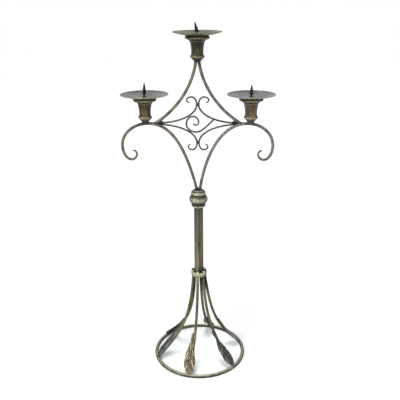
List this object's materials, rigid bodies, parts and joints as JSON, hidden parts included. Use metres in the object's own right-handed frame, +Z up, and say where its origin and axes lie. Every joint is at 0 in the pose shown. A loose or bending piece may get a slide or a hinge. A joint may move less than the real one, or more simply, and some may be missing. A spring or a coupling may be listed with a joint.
{
  "type": "torchere candle stand",
  "caption": "Tall forged rod candle stand: hoop base, leafed flared legs, tube post, cast knop and a scrolled frame that holds pricket candle pans.",
  "frame": {"origin": "on the floor, on the post's axis, at the middle of the base hoop", "axes": "+Z up along the post, +X to the right of a viewer in front, along the scrolled frame; the front faces -Y"},
  "size_m": [0.4076, 0.27, 0.958],
  "materials": {
    "rod": "dull antique bronze patina with rubbed olive and gold highlights",
    "post": "dull antique bronze with long vertical streaks",
    "leaf": "stamped sheet with dark veins and rubbed gold ribs",
    "knop": "old gold, dark in the grooves and bright on the edges",
    "cup": "brown and olive patina, rubbed gold on the ring and flange",
    "pan": "dull pewter grey with an olive rim",
    "pricket": "blackened iron",
    "weld": "dark lumpy weld metal",
    "steel": "plain machined steel"
  },
  "bodies": {
    "root": {"base_hoop": "rod", "leg_1": "rod", "leg_2": "rod", "leg_3": "rod", "leg_4": "rod", "leg_5": "rod", "leg_6": "rod", "leaf_1": "leaf", "leaf_2": "leaf", "leaf_3": "leaf", "leaf_4": "leaf", "leaf_5": "leaf", "leaf_6": "leaf", "leg_band": "knop", "post_tube": "post", "post_plug": "steel", "knop_ring": "knop", "knop_bead": "knop", "frame_disc": "knop", "tie_stud": "steel", "arm_left": "rod", "arm_right": "rod", "upper_rod_left": "rod", "upper_rod_right": "rod", "scroll_upper_left": "rod", "scroll_upper_right": "rod", "scroll_lower_left": "rod", "scroll_lower_right": "rod", "centre_scroll": "rod", "corner_weld_left": "weld", "corner_weld_right": "weld", "seat_left": "rod", "seat_right": "rod", "seat_top": "rod", "cup_left": "cup", "cup_right": "cup", "cup_top": "cup", "pan_left": "pan", "pan_right": "pan", "pan_top": "pan", "pricket_left": "pricket", "pricket_right": "pricket", "pricket_top": "pricket", "pan_nut_left": "steel", "pan_nut_right": "steel", "pan_nut_top": "steel"}
  },
  "joints": []
}
